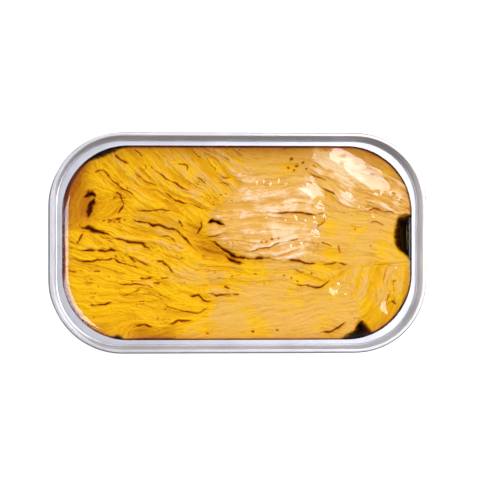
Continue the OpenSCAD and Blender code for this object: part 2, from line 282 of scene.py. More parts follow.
def read_map(field, x, y):
    """Values of a map at loose points, blended between its own points."""
    fx = np.clip((x - map_x[0]) / MAP_GAP, 0, len(map_x) - 1.001)
    fy = np.clip((y - map_y[0]) / MAP_GAP, 0, len(map_y) - 1.001)
    ix, iy = fx.astype(int), fy.astype(int)
    fx, fy = fx - ix, fy - iy
    near = field[iy, ix] * (1 - fx) + field[iy, ix + 1] * fx
    far = field[iy + 1, ix] * (1 - fx) + field[iy + 1, ix + 1] * fx
    return near * (1 - fy) + far * fy


def blurred(field, reach):
    """A map averaged over a bell of the given reach in millimetres."""
    reach = reach / MAP_GAP
    k = np.arange(-int(3 * reach), int(3 * reach) + 1)
    bell = np.exp(-0.5 * (k / reach) ** 2)
    bell /= bell.sum()
    pad = len(k) // 2
    for _ in range(2):
        wide = np.pad(field, ((0, 0), (pad, pad)), mode="edge")
        field = sum(w * wide[:, i:i + field.shape[1]] for i, w in enumerate(bell)).T
    return field


def wavy(size, seed):
    """A map of smooth noise with waves of the given size in millimetres."""
    return noise(MX / size, MY / size, seed)


def window(points, margin):
    """The part of the maps that lies round some points."""
    lo, hi = np.min(points, 0) - margin, np.max(points, 0) + margin
    return (slice(*np.searchsorted(map_y, (lo[1], hi[1]))), slice(*np.searchsorted(map_x, (lo[0], hi[0]))))


def corners(node):
    """The points of a CAD piece, in millimetres."""
    return np.array([v.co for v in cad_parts[node].data.vertices]) / MM


def foot_line(node):
    """The closed line round the foot of a CAD piece, counter-clockwise, in millimetres."""
    co = corners(node)
    low = co[:, 2].min() + 0.01
    spot = [tuple(np.round(c[:2], 3)) for c in co]
    edges = set()
    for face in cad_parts[node].data.polygons:
        ids = list(face.vertices)
        if all(co[i, 2] < low for i in ids):
            edges |= {(spot[i], spot[j]) for i, j in zip(ids, ids[1:] + ids[:1])}
    after = {a: b for a, b in edges if (b, a) not in edges}
    start = here = min(after)
    ring = []
    while not ring or here != start:
        ring.append(here)
        here = after[here]
    ring = np.array(ring)
    x, y = ring.T
    area = (x * np.roll(y, -1) - np.roll(x, -1) * y).sum()
    return ring if area > 0 else ring[::-1]


def top_plane(node):
    """Height of the CAD piece's shoulder as a plane a + b x + c y, in millimetres."""
    co = corners(node)
    up = co[co[:, 2] > LEVEL - 6]
    fit = np.stack([np.ones(len(up)), up[:, 0], up[:, 1]], 1)
    return np.linalg.lstsq(fit, up[:, 2], rcond=None)[0]


def round_average(values, count):
    """Values along a closed line, each averaged with its neighbours."""
    k = count // 2
    return np.convolve(np.concatenate([values[-k:], values, values[:k]]), np.ones(count) / count, "valid")


def smooth_curve(ring):
    """A closed line redrawn as a smooth curve through its own points."""
    out = []
    n = len(ring)
    for i in range(n):
        p0, p1, p2, p3 = (ring[(i + k) % n] for k in (-1, 0, 1, 2))
        steps = max(1, round(np.hypot(*(p2 - p1)) / EDGE_GAP))
        for t in np.arange(steps) / steps:
            out.append(0.5 * (2 * p1 + (p2 - p0) * t + (2 * p0 - 5 * p1 + 4 * p2 - p3) * t ** 2
                              + (3 * p1 - p0 - 3 * p2 + p3) * t ** 3))
    return np.array(out)


def torn_line(ring, others, seed):
    """The foot line as a smooth curve, swollen a little; loose edges bulge into the pockets."""
    line = smooth_curve(ring)
    tangent = np.roll(line, -1, 0) - np.roll(line, 1, 0)
    normal = np.stack([tangent[:, 1], -tangent[:, 0]], 1) / np.hypot(*tangent.T)[:, None]
    grow = np.full(len(line), GROW)
    probe = line + normal * POCKET_PROBE
    room = inside_by(*probe.T, HALF, WALL_ROUND) > 0
    for other in others:
        room &= ~within(*probe.T, other)
    for spot, reach, amount in BULGES:
        d = np.hypot(*(line - place([spot])[0]).T) / reach
        grow += room * amount * np.exp(-d ** 2) * (1 + 0.35 * noise(*(line.T / 1.3), seed))
    grow = round_average(grow, 7)
    for _ in range(8):
        grow[inside_by(*(line + normal * grow[:, None]).T, HALF, WALL_ROUND) < WALL_GAP] *= 0.75
    return line + normal * grow[:, None]


def unit(field):
    """A map with its mean at 0 and its spread at 1."""
    return (field - field.mean()) / field.std()


def combed(fields, heading, reach, stride):
    """Maps averaged along the grain, which draws them out into fibres."""
    along_x, along_y = np.cos(heading), np.sin(heading)
    totals = [f.copy() for f in fields]
    for sign in (1, -1):
        x, y = MX.copy(), MY.copy()
        for _ in range(int(reach / stride)):
            dx, dy = read_map(along_x, x, y), read_map(along_y, x, y)
            x, y = x + sign * stride * dx, y + sign * stride * dy
            for total, f in zip(totals, fields):
                total += read_map(f, x, y)
    return [unit(t) for t in totals]


def follows_grain(field, heading):
    """1 where a map's level lines run along the grain, 0 where they turn across it."""
    gy, gx = np.gradient(field)
    along = np.abs(gx * np.cos(heading) + gy * np.sin(heading))
    across = np.abs(gy * np.cos(heading) - gx * np.sin(heading))
    return ramp(across / (along + across + 1e-9), 0.70, 0.88)


# Sizes of the relief, in millimetres. A shade goes from 0 on a clean face to 1 at the bottom of a crack.
BLEND_HEIGHT, BLEND_LOOK, BLEND_GRAIN = 1.3, 1.6, 1.8     # how far neighbouring pieces blend
FIBRE, THREAD, BUNDLE, SHEET = 0.27, 0.6, 1.0, 2.6        # widths of what is combed along the grain
SHORT_COMB, LONG_COMB = (2.1, 0.3), (6.0, 0.6)            # how far it is drawn out, and in what strides
LIFT = 0.16                                   # flakes lie this much over the CAD piece's shoulder
FULL_FLAKE = 0.3                              # flake height from which valleys and torn edges show fully
TEAR_FROM, TEAR_SHADE = 0.80, 0.55            # where across a sheet it tears, and the shade there
FIBRE_SHADE = 0.09
VALLEY_DEPTH, VALLEY_SHADE = 0.16, 0.13
SPLIT_WIDTH, SPLIT_DEPTH, SPLIT_SHADE = 0.13, 0.40, 0.85  # the width is in spreads of the bundles
CRACK_CORE = 0.42                             # a crack's dark core, as a share of its width
LIP_REACH = 1.4                               # how far a crack's lifted lip reaches
LIP_SHADE, LIP_SHADE_REACH = 0.35, 0.7        # the shade beside it, for each millimetre of depth
PIT_DEPTH, PIT_STRETCH = 0.5, 1.3
SHELF_DEPTH, SHELF_BEND = 3.2, 1.4            # how far free edges fall, and how round their shoulder is
SIDE_BAND, LONG_BAND, BAND_END = 12, 14, (3, 5)           # where the painted shade by the ledge fades in
# painted shade by the ledge: the dark band at its torn edge, broader shade behind and in front, and how far
# the front one reaches
RIM_SHADE, BACK_SHADE, FRONT_SHADE, FRONT_REACH = 0.97, 0.46, 0.26, 2.0
CREST_UNDER = 0.4                             # share of a crest that is flesh under the oil
BEAD_HEIGHT = 0.30                            # of its size


class Relief:
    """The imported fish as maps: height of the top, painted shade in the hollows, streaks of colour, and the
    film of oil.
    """

    def __init__(self):
        feet = {name: foot_line(name) for name in FISH}
        self.rings = {name: torn_line(ring, [r for n, r in feet.items() if n != name], 11 + k)
                      for k, (name, ring) in enumerate(feet.items())}
        # cracks, pits and beads are drawn on a slightly crumpled plan
        self.wx = MX + 0.5 * wavy(2.2, 41) + 0.12 * wavy(0.8, 42)
        self.wy = MY + 0.5 * wavy(2.2, 43) + 0.12 * wavy(0.8, 44)
        self.lay_pieces()
        self.comb_fibres()
        self.lay_flakes()
        self.open_splits()
        self.open_cracks()
        self.prick_pits()
        self.slope_free_edges()
        self.shade_by_ledge()
        self.pour_film()
        self.hollow = np.clip(self.hollow, 0, 1)

    def darken(self, value, win=...):
        """Take a value into the painted shade of the hollows where it is darker than what is there."""
        self.hollow[win] = np.maximum(self.hollow[win], value)

    def lay_pieces(self):
        """Heights, flakes, fibres, painted shade and grain of each piece, blended where pieces meet."""
        cover, level, step, fibre, piece_shade, grain_x, grain_y = (np.zeros(MX.shape) for _ in range(7))
        for name, ring in self.rings.items():
            win = window(ring, EDGE_GAP)
            x, y = MX[win], MY[win]
            hit = within(x, y, ring)
            a, b, c = top_plane(name)
            angle, flake, thread, shade_here = FISH[name]
            angle = math.radians(angle)
            # each piece's painted shade is laid like its other values
            for field, value in ((cover, 1), (level, a + b * x + c * y), (step, flake), (fibre, thread),
                                 (piece_shade, shade_here), (grain_x, math.cos(angle)), (grain_y, math.sin(angle))):
                field[win] = np.where(hit, value, field[win])
        wide = blurred(cover, BLEND_LOOK) + 1e-6
        self.cover = cover
        self.base = blurred(level * cover, BLEND_HEIGHT) / (blurred(cover, BLEND_HEIGHT) + 1e-6)
        self.step, self.fibre, self.piece_shade = (blurred(f, BLEND_LOOK) / wide for f in (step, fibre, piece_shade))
        # the grain wanders by up to 17 and 8 degrees, in long and in short waves
        self.heading = np.arctan2(blurred(grain_y, BLEND_GRAIN), blurred(grain_x, BLEND_GRAIN)) \
            + 0.30 * wavy(7, 5) + 0.14 * wavy(2.5, 6)

    def comb_fibres(self):
        """Noise drawn out along the grain, from single fibres to broad sheets."""
        self.fine, self.middle = combed([wavy(FIBRE, 21), wavy(THREAD, 22)], self.heading, *SHORT_COMB)
        self.bundle, self.broad = combed([wavy(BUNDLE, 23), wavy(SHEET, 24)], self.heading, *LONG_COMB)
        self.streak = 0.5 * self.fine + 0.7 * self.middle + 0.6 * self.bundle

    def lay_flakes(self):
        """Sheets that overlap, each ending in a torn edge, with fibres on them and valleys between."""
        sheets = 1.25 * self.broad + 0.30 * self.bundle + 0.07 * self.middle
        part = sheets - np.floor(sheets)
        torn = ramp(part, TEAR_FROM, 1.0)
        self.top = self.base + LIFT + self.step * (part - torn) + 0.35 * self.bundle * self.step
        # the foot of a torn edge is in shade, here and there, where it runs with the grain
        flaky = np.clip(self.step / FULL_FLAKE, 0, 1)
        foot = ramp(part, TEAR_FROM - 0.02, 0.95) * (1 - ramp(part, 0.985, 1.0))
        some = ramp(wavy(3.1, 31) + 0.3 * self.middle, -0.1, 0.9)
        self.hollow = TEAR_SHADE * flaky * foot * some * follows_grain(sheets, self.heading)
        self.top += self.fibre * (0.75 * self.fine + 0.9 * self.middle)
        self.darken(FIBRE_SHADE * ramp(-self.fine - 0.6 * self.middle, 1.2, 2.8))
        valley = ramp(-self.bundle + 0.3 * self.middle, 0.3, 1.7) * flaky
        self.top -= VALLEY_DEPTH * valley
        self.darken(VALLEY_SHADE * valley)

    def open_splits(self):
        """Short splits along the grain."""
        some = ramp(wavy(4.2, 33) + 0.25 * wavy(1.4, 34), 0.18, 0.5) * np.clip(self.step / 0.24, 0.25, 1)
        line = np.exp(-((self.bundle + 0.22 * self.middle + 0.4) / SPLIT_WIDTH) ** 2)
        split = line * some * follows_grain(self.bundle, self.heading)
        self.top -= SPLIT_DEPTH * split
        self.darken(SPLIT_SHADE * split)

    def open_cracks(self):
        """The ragged cracks: a dark core of painted shade, one lip lifted, the other in its painted shade."""
        swell = 0.95 + 0.6 * wavy(1.6, 45) + 0.2 * wavy(0.5, 46)
        for line, width, depth, lift in CRACKS:
            line = place(line)
            win = window(line, 4)
            d, side, along = to_line(self.wx[win], self.wy[win], line)
            taper = np.clip(np.minimum(along, 1 - along) * 4, 0.1, 1) * np.clip(swell[win], 0.15, 1.5)
            core = np.exp(-(d / (CRACK_CORE * width * taper)) ** 2) * np.clip(taper * 1.3, 0, 1)
            strength = np.clip(taper, 0, 1)
            self.top[win] += lift * (side > 0) * np.exp(-d / LIP_REACH) * strength - depth * core
            shade = LIP_SHADE * depth * np.exp(-d / LIP_SHADE_REACH) * (side < 0) * strength
            self.darken(np.maximum(core * min(1, 0.55 + 0.4 * depth), shade), win)

    def prick_pits(self):
        """Small pits darkened with painted shade, a little wider along the can than across it."""
        for px, py, size in PITS:
            (x, y), = place([(px, py)])
            win = window([(x, y)], 1.5)
            d = np.hypot(self.wx[win] - x, (self.wy[win] - y) * PIT_STRETCH)
            dent = np.exp(-(d / (size / 2)) ** 2)
            self.top[win] -= PIT_DEPTH * dent
            self.darken(dent, win)

    def slope_free_edges(self):
        """Free edges fall away into the clear oil."""
        shelf = 1 - ramp(blurred(self.cover, 0.9) + 0.07 * wavy(1.2, 47), 0.45, 0.95)
        self.top -= SHELF_DEPTH * shelf ** SHELF_BEND * (1 + 0.25 * self.middle)

    def shade_by_ledge(self):
        """Painted shade beside the torn edge of the ledge: a dark band at the edge, and broader shade behind,
        at the left and in front.
        """
        edge = np.maximum(inside_by(MX, MY, MOUTH_HALF, MOUTH_ROUND), 0)
        left = ramp(MID[0] - MX, HALF[0] - SIDE_BAND, HALF[0] - BAND_END[0])
        back = ramp(MY - MID[1], HALF[1] - LONG_BAND, HALF[1] - BAND_END[1])
        front = ramp(MID[1] - MY, HALF[1] - LONG_BAND, HALF[1] - BAND_END[1])
        self.darken(RIM_SHADE * np.exp(-(edge / (0.32 + 0.7 * left + 0.15 * back)) ** 2))
        reach = 0.5 + 1.9 * np.maximum(back, 0.5 * left)
        # each piece's own painted shade, then broader painted shade behind, at the left and in front
        self.hollow = self.hollow + self.piece_shade \
            + BACK_SHADE * np.exp(-edge / reach) * np.maximum(back, 0.6 * left) \
            + FRONT_SHADE * np.exp(-edge / FRONT_REACH) * front

    def pour_film(self):
        """The film of oil: over flesh that stands out, over the crests, and in beads."""
        rise = np.maximum(self.top - LEVEL, 0) * self.cover
        self.film = 0.9 * blurred(rise, 0.9) + 0.4 * blurred(rise, 2.0)
        crests = np.zeros(MX.shape)
        for line, height, steep, gentle in CRESTS:
            line = place(line)
            win = window(line, 12)
            d, side, along = to_line(self.wx[win], self.wy[win], line)
            ends = np.clip(np.minimum(along, 1 - along) * 6, 0, 1) ** 0.5
            crests[win] += height * np.clip(1 - d / np.where(side > 0, steep, gentle), 0, 1) * ends
        self.top += CREST_UNDER * crests
        self.film += blurred(crests, 0.4)
        for px, py, size in BEADS:
            (x, y), = place([(px, py)])
            win = window([(x, y)], 3)
            d = np.hypot(self.wx[win] - x, self.wy[win] - y) / size
            self.film[win] += BEAD_HEIGHT * size * np.exp(-d ** 2)


# ---------------------------------------------------------------- meshes
def honeycomb(lo, hi, gap):
    """Points of an even triangular grid over a rectangle."""
    x, y = np.meshgrid(np.arange(lo[0], hi[0], gap), np.arange(lo[1], hi[1], gap * 0.866))
    x[1::2] += gap / 2
    return x.ravel(), y.ravel()


def filled(ring, x, y):
    """Triangles that fill a closed line through the loose points inside it."""
    points = [Vector(p) for p in ring] + [Vector(p) for p in zip(x, y)]
    verts, _, faces, origin, _, _ = delaunay_2d_cdt(points, [], [list(range(len(ring)))], 1, 1e-5)
    rim = {}
    for i, ids in enumerate(origin):
        for k in ids:
            if k < len(ring):
                rim[k] = i
    flat = np.array([v[:] for v in verts])
    return flat, [list(f) for f in faces], [rim[k] for k in range(len(ring)) if k in rim]


def closed_below(flat, z, faces, rim, rings):
    """A top with walls hung from its rim through lower rings of points, and a foot that closes them."""
    above, count, n = rim, len(flat), len(rim)
    for _ in rings:
        below = list(range(count, count + n))
        faces += [[above[i], below[i], below[(i + 1) % n], above[(i + 1) % n]] for i in range(n)]
        above = below
        count += n
    faces.append(above[::-1])
    return np.concatenate([np.column_stack([flat, z])] + rings), faces


def new_mesh(name, verts, faces, material, layers, stands_for):
    """A smooth mesh piece from millimetres, with its extra values per point, in place of a CAD node."""
    mesh = bpy.data.meshes.new(name)
    mesh.from_pydata((verts * MM).tolist(), [], faces)
    for key, values in layers.items():
        layer = mesh.attributes.new(key, "FLOAT", "POINT")
        layer.data.foreach_set("value", np.asarray(values, np.float32))
    mesh.materials.append(material)
    mesh.polygons.foreach_set("use_smooth", [True] * len(mesh.polygons))
    mesh.update()
    obj = bpy.data.objects.new(name, mesh)
    bpy.context.scene.collection.objects.link(obj)
    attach(obj, "root")
    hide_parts(stands_for)


def make_flesh(relief, name, material, seed):
    """The closed solid of one piece of fish: fine top, torn sides, flat foot."""
    line = relief.rings[name]
    x, y = honeycomb(line.min(0), line.max(0), POINT_GAP)
    keep = within(x, y, line)
    x, y = x[keep], y[keep]
    keep = to_line(x, y, line, closed=True)[0] > LINE_CLEAR
    flat, faces, rim = filled(line, x[keep], y[keep])
    z = read_map(relief.top, *flat.T)
    edge = flat[rim]
    inward = flat.mean(0) - edge
    inward /= np.hypot(*inward.T)[:, None]
    probe = edge - inward * 1.2
    loose = (read_map(relief.cover, *probe.T) < 0.1) & (inside_by(*probe.T, HALF, WALL_ROUND) > 0.3)
    loose = round_average(loose.astype(float), 9)
    rings = []
    for k, (drop, pull, spread) in enumerate(SIDE_RINGS):
        pull = pull + 0.08 * noise(edge[:, 0] / 0.8, edge[:, 1] / 0.8 + k * 9, seed)
        spread = spread * loose
        for _ in range(10):
            layer = edge + inward * (pull - spread)[:, None]
            spread = np.where(inside_by(*layer.T, HALF, WALL_ROUND) < WALL_GAP, 0.7 * spread, spread)
        height = np.full(len(rim), FLOOR + FOOT_RISE) if drop is None else z[rim] - drop
        rings.append(np.column_stack([layer, height]))
    verts, faces = closed_below(flat, z, faces, rim, rings)
    new_mesh("flesh_" + name, verts, faces, material, {
        "hollow": np.concatenate([read_map(relief.hollow, *flat.T),
                                  np.full(len(verts) - len(flat), SIDE_SHADE)]),
        "under": LEVEL - verts[:, 2],
        "streak": read_map(relief.streak, verts[:, 0], verts[:, 1]),
    }, name)


# ---------------------------------------------------------------- the oil
EDGE_RISE = 0.68                              # oil drawn up at the torn edge of the ledge
EDGE_REACH = 1.4                              # how far that rise reaches
HIDDEN_RISE = 0.22                            # oil level under the ledge
HIDDEN_REACH = 0.25                           # how quickly it falls to that behind the edge
DIP = 0.03                                    # the open oil lies this much lower than the CAD oil
OIL_GAP = 0.36                                # spacing of the points on the oil
OIL_CLEAR = 0.02                              # the oil keeps this far from the wall
# Rings of points down the oil's side: how far in, and how far over the lowest point
OIL_RINGS = ((0, 2.2), (0.6, 0.8), (2.2, 0.15))


def oil_top(relief, x, y):
    """Height of the oil: level, drawn up at the mouth's edge, clinging to the fish."""
    d = inside_by(x, y, MOUTH_HALF, MOUTH_ROUND)
    hidden = HIDDEN_RISE + (EDGE_RISE - HIDDEN_RISE) * np.exp(-np.abs(d) / HIDDEN_REACH)
    climb = np.where(d > 0, EDGE_RISE * np.exp(-np.abs(d) / EDGE_REACH), hidden)
    return LEVEL - DIP + climb + read_map(relief.film, x, y) * ramp(d, -0.2, 1.2)


def rounded_rectangle(half, r, step):
    """Points round a rounded rectangle, counter-clockwise."""
    out = []
    turns = max(4, round(r * math.pi / 2 / step))
    for k, (sx, sy) in enumerate(((1, 1), (-1, 1), (-1, -1), (1, -1))):
        c = np.array([sx * (half[0] - r), sy * (half[1] - r)]) + MID
        for i in range(turns + 1):
            a = math.radians(90 * (k + i / turns))
            out.append(c + r * np.array([math.cos(a), math.sin(a)]))
    full = []
    for p, q in zip(out, out[1:] + out[:1]):
        steps = max(1, round(np.hypot(*(q - p)) / step))
        full += [p + (q - p) * t / steps for t in range(steps)]
    return np.array(full)


def make_oil(relief, material):
    """The oil as one closed body: its drawn-up surface, the wall line, and a foot inside the can."""
    half = HALF - OIL_CLEAR
    x, y = honeycomb(MID - half, MID + half, OIL_GAP)
    keep = inside_by(x, y, half, WALL_ROUND) > 0.2
    flat, faces, rim = filled(rounded_rectangle(half, WALL_ROUND, 0.4), x[keep], y[keep])
    z = oil_top(relief, *flat.T)
    bed = np.where(relief.cover > 0.5, relief.top, FLOOR)
    depth = z - read_map(blurred(bed, 0.25), *flat.T)
    rings = [np.column_stack([flat[rim] * (1 - inset / HALF[1]), np.full(len(rim), FLOOR + rise)])
             for inset, rise in OIL_RINGS]
    verts, faces = closed_below(flat, z, faces, rim, rings)
    depth = np.concatenate([depth, np.zeros(len(verts) - len(flat))])
    new_mesh("olive_oil", verts, faces, material, {"depth": depth}, "oil")


# ---------------------------------------------------------------- materials
def material(name):
    mat = bpy.data.materials.new(name)
    mat.use_nodes = True
    nodes, links = mat.node_tree.nodes, mat.node_tree.links
    return mat, nodes, links, nodes["Principled BSDF"]


def node(nodes, kind, values=None, **settings):
    """A shader node with its settings and the values of its sockets."""
    made = nodes.new(kind)
    for key, value in settings.items():
        setattr(made, key, value)
    for key, value in (values or {}).items():
        made.inputs[key].default_value = value
    return made


def scaled(nodes, links, source, lo, hi, to_lo=0.0, to_hi=1.0):
    """A value carried over from one range to another."""
    made = node(nodes, "ShaderNodeMapRange",
                {"From Min": lo, "From Max": hi, "To Min": to_lo, "To Max": to_hi})
    links.new(source, made.inputs["Value"])
    return made.outputs[0]


def graded(nodes, links, source, stops):
    """A colour read off a scale of stops."""
    made = nodes.new("ShaderNodeValToRGB")
    scale = made.color_ramp
    while len(scale.elements) < len(stops):
        scale.elements.new(0.5)
    for element, (at, colour) in zip(scale.elements, stops):
        element.position = at
        element.color = (*colour, 1)
    links.new(source, made.inputs["Fac"])
    return made.outputs["Color"]


def multiplied(nodes, links, colour, by):
    made = node(nodes, "ShaderNodeMix", {0: 1.0}, data_type="RGBA", blend_type="MULTIPLY")
    links.new(colour, made.inputs[6])
    links.new(by, made.inputs[7])
    return made.outputs[2]


def roughened(nodes, links, source, strength, height, shader):
    """Small bumps on the surface, their height in metres."""
    bump = node(nodes, "ShaderNodeBump", {"Strength": strength, "Distance": height})
    links.new(source, bump.inputs["Height"])
    links.new(bump.outputs["Normal"], shader.inputs["Normal"])


def grey(value):
    return (value, value, value)


def new_group(name, inputs, outputs):
    tree = bpy.data.node_groups.new(name, "ShaderNodeTree")
    for label, default in inputs:
        socket = tree.interface.new_socket(label, in_out="INPUT", socket_type="NodeSocketFloat")
        socket.default_value = default
    for label in outputs:
        tree.interface.new_socket(label, in_out="OUTPUT", socket_type="NodeSocketFloat")
    start, end = tree.nodes.new("NodeGroupInput"), tree.nodes.new("NodeGroupOutput")
    return tree, tree.nodes, tree.links, start, end


def sheet_marks_group():
    """Fine lines that run with the edge of the tin, and faint cloudy wear, on rolled sheet."""
    tree, nodes, links, start, end = new_group("rolled sheet marks", [
        ("Half length", 0.05), ("Half width", 0.03), ("Corner radius", 0.02), ("Line spacing", 0.0002),
    ], ["Lines", "Wear"])
    where = node(nodes, "ShaderNodeNewGeometry")
    apart = node(nodes, "ShaderNodeSeparateXYZ")
    links.new(where.outputs["Position"], apart.inputs[0])

    def math_node(op, a, b=None):
        made = node(nodes, "ShaderNodeMath", operation=op)
        for k, value in enumerate((a, b)):
            if isinstance(value, float):
                made.inputs[k].default_value = value
            elif value is not None:
                links.new(value, made.inputs[k])
        return made.outputs[0]

    # the same value all along any line that runs parallel with the tin's edge
    past = []
    for axis, label in ((0, "Half length"), (1, "Half width")):
        reach = math_node("ABSOLUTE", apart.outputs[axis])
        straight = math_node("SUBTRACT", start.outputs[label], start.outputs["Corner radius"])
        past.append(math_node("SUBTRACT", reach, straight))
    outside = [math_node("MAXIMUM", p, 0.0) for p in past]
    square = math_node("ADD", *(math_node("MULTIPLY", o, o) for o in outside))
    inner = math_node("MINIMUM", math_node("MAXIMUM", *past), 0.0)
    contour = math_node("ADD", math_node("SQRT", square), inner)
    both = node(nodes, "ShaderNodeCombineXYZ")
    for k, source in enumerate((contour, apart.outputs[2])):
        links.new(math_node("DIVIDE", source, start.outputs["Line spacing"]), both.inputs[k])
    lines = node(nodes, "ShaderNodeTexNoise", {"Scale": 1.0, "Detail": 2.0, "Roughness": 0.6})
    links.new(both.outputs[0], lines.inputs["Vector"])
    wear = node(nodes, "ShaderNodeTexNoise", {"Scale": 120.0, "Detail": 4.0, "Roughness": 0.6})
    links.new(where.outputs["Position"], wear.inputs["Vector"])
    links.new(lines.outputs["Fac"], end.inputs["Lines"])
    links.new(wear.outputs["Fac"], end.inputs["Wear"])
    return tree


def sheet_metal(name, marks_group, colour, dull, spacing, depth, roughness):
    """Plain aluminium sheet with rolling lines and faint wear."""
    mat, nodes, links, shader = material(name)
    marks = node(nodes, "ShaderNodeGroup", node_tree=marks_group)
    for label, value in (("Half length", RIM_HALF[0] * MM), ("Half width", RIM_HALF[1] * MM),
                         ("Corner radius", RIM_ROUND * MM), ("Line spacing", spacing)):
        marks.inputs[label].default_value = value
    shader.inputs["Metallic"].default_value = 1.0
    links.new(graded(nodes, links, marks.outputs["Wear"], [(0.3, dull), (0.65, colour)]),
              shader.inputs["Base Color"])
    links.new(scaled(nodes, links, marks.outputs["Lines"], 0.3, 0.7, *roughness), shader.inputs["Roughness"])
    roughened(nodes, links, marks.outputs["Lines"], 0.25, depth, shader)
    return mat


# Colour of the flesh from half a millimetre out of the oil (0) to 5.5 mm under it (1)
FLESH_RANGE = (-0.5, 5.5)
FLESH_GOLD = [(0.017, (0.88, 0.64, 0.40)), (0.058, (0.78, 0.435, 0.11)), (0.117, (0.77, 0.45, 0.085)),
              (0.145, (0.83, 0.48, 0.035)), (0.17, (0.89, 0.52, 0.001)), (0.30, (0.85, 0.47, 0.001)),
              (0.417, (0.64, 0.32, 0.001)), (0.60, (0.40, 0.17, 0.003)), (1.0, (0.16, 0.06, 0.002))]
# Painted shade, from a clean face (0) to the bottom of a crack (1)
HOLLOW_SHADE_TINT = [(0.0, (1, 1, 1)), (0.3, (0.76, 0.62, 0.32)), (0.65, (0.42, 0.18, 0.05)),
               (1.0, (0.12, 0.034, 0.008))]
FIBRE_TINT = [(0.12, (0.92, 0.86, 0.77)), (0.45, (0.98, 0.97, 0.95)), (0.85, (1.0, 1.0, 1.0))]
# Colour of the oil from no depth (0) to 10 mm (1)
OIL_TINT = [(0.0, (1.0, 0.98, 0.86)), (0.1, (1.0, 0.95, 0.66)), (0.25, (0.90, 0.72, 0.22)),
            (0.6, (0.68, 0.42, 0.05)), (1.0, (0.42, 0.22, 0.01))]


def tuna_flesh():
    """Cooked tuna: pale where it stands out of the oil, golden under it, red-brown with painted shade in the
    cracks and hollows.
    """
    mat, nodes, links, shader = material("tuna flesh")
    under, hollow, streak = (node(nodes, "ShaderNodeAttribute", attribute_name=a).outputs["Fac"]
                             for a in ("under", "hollow", "streak"))
    where = node(nodes, "ShaderNodeNewGeometry")
    cloud = node(nodes, "ShaderNodeTexNoise", {"Scale": 140.0, "Detail": 4.0, "Roughness": 0.6})
    links.new(where.outputs["Position"], cloud.inputs["Vector"])
    cloud = cloud.outputs["Fac"]

    # depth under the oil, shifted by cloudy patches
    deep = node(nodes, "ShaderNodeMath", operation="ADD")
    links.new(under, deep.inputs[0])
    links.new(scaled(nodes, links, cloud, 0.3, 0.7, -0.28, 0.28), deep.inputs[1])
    gold = graded(nodes, links, scaled(nodes, links, deep.outputs[0], *FLESH_RANGE), FLESH_GOLD)
    fibres = graded(nodes, links, scaled(nodes, links, streak, -2.2, 2.2), FIBRE_TINT)
    # painted shade from the hollow map: cracks, pits, valleys, torn edges, sides and the ledge
    painted_shade = graded(nodes, links, hollow, HOLLOW_SHADE_TINT)
    fibred = multiplied(nodes, links, gold, fibres)
    links.new(multiplied(nodes, links, fibred, painted_shade), shader.inputs["Base Color"])
    links.new(scaled(nodes, links, cloud, 0.3, 0.7, 0.42, 0.56), shader.inputs["Roughness"])
    shader.inputs["Specular IOR Level"].default_value = 0.12
    roughened(nodes, links, cloud, 0.3, 0.0001, shader)
    return mat


def golden_oil():
    """Olive oil: clear over the fish, brown where it is deep. Shade and soft light pass it straight."""
    mat, nodes, links, shader = material("golden olive oil")
    shader.inputs["Roughness"].default_value = 0.015
    shader.inputs["IOR"].default_value = 1.46
    shader.inputs["Transmission Weight"].default_value = 1.0
    depth = node(nodes, "ShaderNodeAttribute", attribute_name="depth").outputs["Fac"]
    tint = graded(nodes, links, scaled(nodes, links, depth, 0.0, 10.0), OIL_TINT)
    links.new(tint, shader.inputs["Base Color"])
    clear = node(nodes, "ShaderNodeBsdfTransparent", {"Color": (1.0, 0.96, 0.84, 1)})
    path = node(nodes, "ShaderNodeLightPath")
    either = node(nodes, "ShaderNodeMath", operation="MAXIMUM")
    links.new(path.outputs["Is Shadow Ray"], either.inputs[0])
    links.new(path.outputs["Is Diffuse Ray"], either.inputs[1])
    mix = node(nodes, "ShaderNodeMixShader")
    links.new(either.outputs[0], mix.inputs[0])
    links.new(shader.outputs[0], mix.inputs[1])
    links.new(clear.outputs[0], mix.inputs[2])
    links.new(mix.outputs[0], nodes["Material Output"].inputs["Surface"])
    return mat


def studio_floor():
    """Pale sweep: lit evenly from below for the eye, a soft grey in the metal's reflections."""
    mat, nodes, links, shader = material("studio floor")
    for label, value in (("Base Color", (0.80, 0.80, 0.80, 1)), ("Roughness", 0.9),
                         ("Specular IOR Level", 0.1), ("Emission Color", (1, 1, 1, 1)),
                         ("Emission Strength", 0.75)):
        shader.inputs[label].default_value = value
    dim = node(nodes, "ShaderNodeBsdfDiffuse", {"Color": (0.36, 0.36, 0.37, 1)})
    path = node(nodes, "ShaderNodeLightPath")
    mix = node(nodes, "ShaderNodeMixShader")
    links.new(path.outputs["Is Camera Ray"], mix.inputs[0])
    links.new(dim.outputs[0], mix.inputs[1])
    links.new(shader.outputs[0], mix.inputs[2])
    links.new(mix.outputs[0], nodes["Material Output"].inputs["Surface"])
    return mat


# ---------------------------------------------------------------- floor, light and camera
FLOOR_HALF = 3                                # metres
FLOOR_DROP = 0.00001                          # the floor lies this much under the can's foot
# Brightness of the studio by height: level with the tin (0) to straight above (1)
DOME = [(0.0, grey(0.70)), (0.72, grey(0.58)), (0.91, grey(0.40)), (0.97, grey(0.08)), (1.0, grey(0.03))]
# Its colour from the left (0) to the right (1)
SIDE_CAST = [(0.0, (2.3, 2.27, 2.42)), (0.5, (1.0, 1.0, 1.03)), (1.0, (1.5, 1.45, 1.27))]
FRONT_TO_BACK = (-0.9, 0.3, 0.12, 1.15)       # dim in front, bright behind
STUDIO_STRENGTH = 0.8

